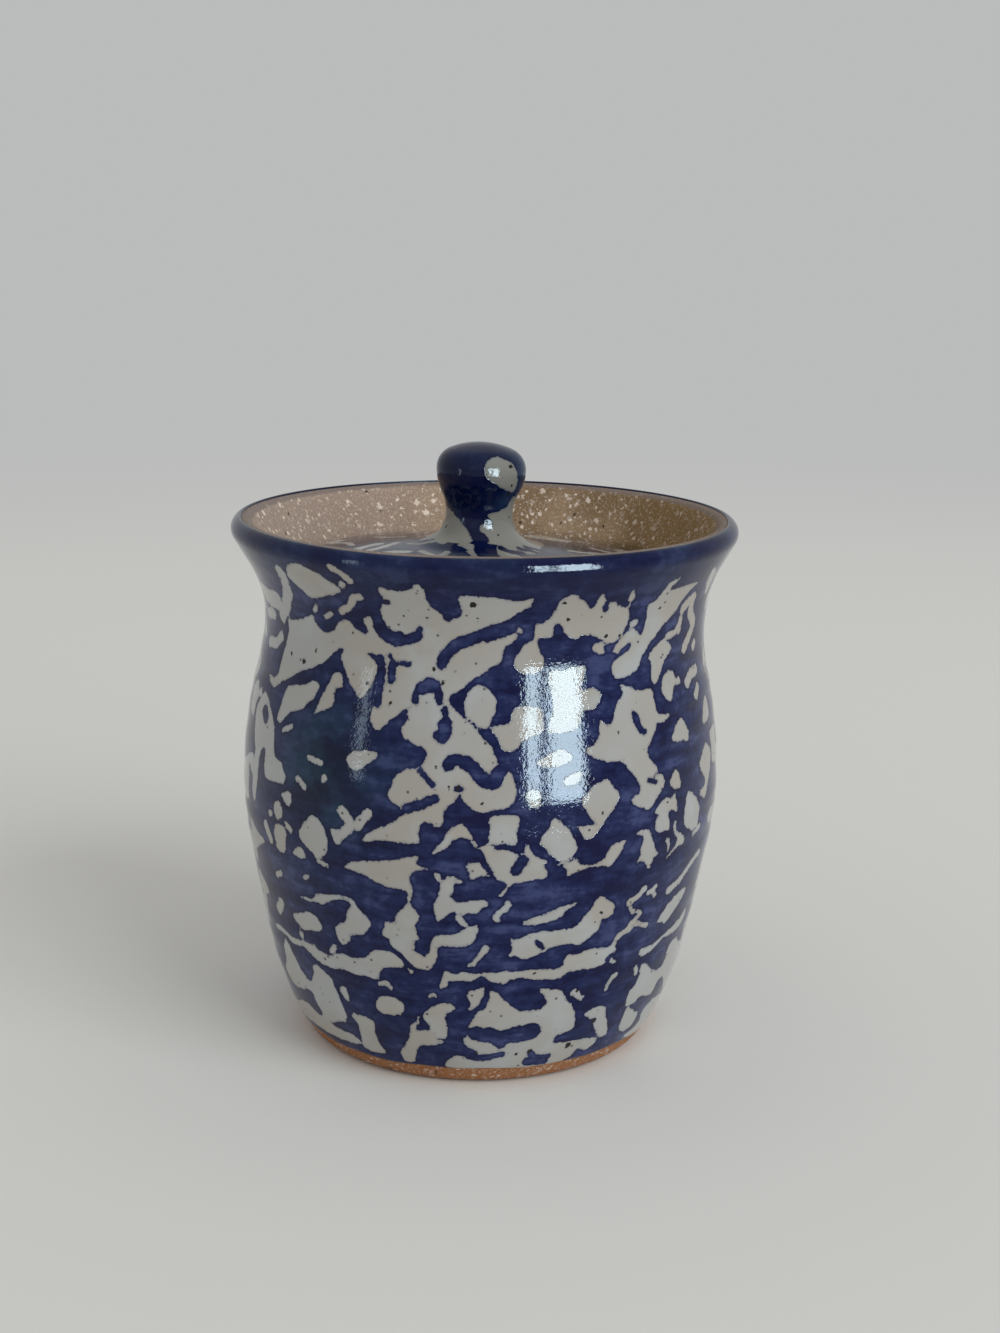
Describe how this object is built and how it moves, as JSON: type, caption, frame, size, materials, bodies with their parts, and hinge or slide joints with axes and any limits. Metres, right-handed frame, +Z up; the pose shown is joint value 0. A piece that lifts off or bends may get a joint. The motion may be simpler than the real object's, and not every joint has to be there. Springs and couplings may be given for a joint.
{
  "type": "lidded stoneware jar",
  "caption": "Squat stoneware jar with a flared rim and a drop-in lid with a ball knob, sponged blue glaze over grey, bare clay foot and rim inside.",
  "frame": {"origin": "middle of the foot, on the surface that the jar stands on", "axes": "+Z up along the wheel's axis, through the knob"},
  "size_m": [0.111, 0.111, 0.1327],
  "materials": {
    "bare_clay": "bare fired stoneware, matt, speckled with pale grog",
    "sponged_glaze": "glossy cobalt blue sponged over warm grey, with iron specks",
    "liner_glaze": "glossy plain warm grey"
  },
  "bodies": {
    "pot": {"pot_body": "bare_clay", "pot_glaze": "sponged_glaze", "liner_glaze": "liner_glaze"},
    "lid": {"lid_disc": "bare_clay", "lid_knob": "bare_clay", "lid_glaze": "sponged_glaze"}
  },
  "joints": [
    {"name": "lid_lift", "type": "slide", "parent": "pot", "child": "lid", "axis": [0, 0, 1], "range_m": [0, 0.06]}
  ]
}
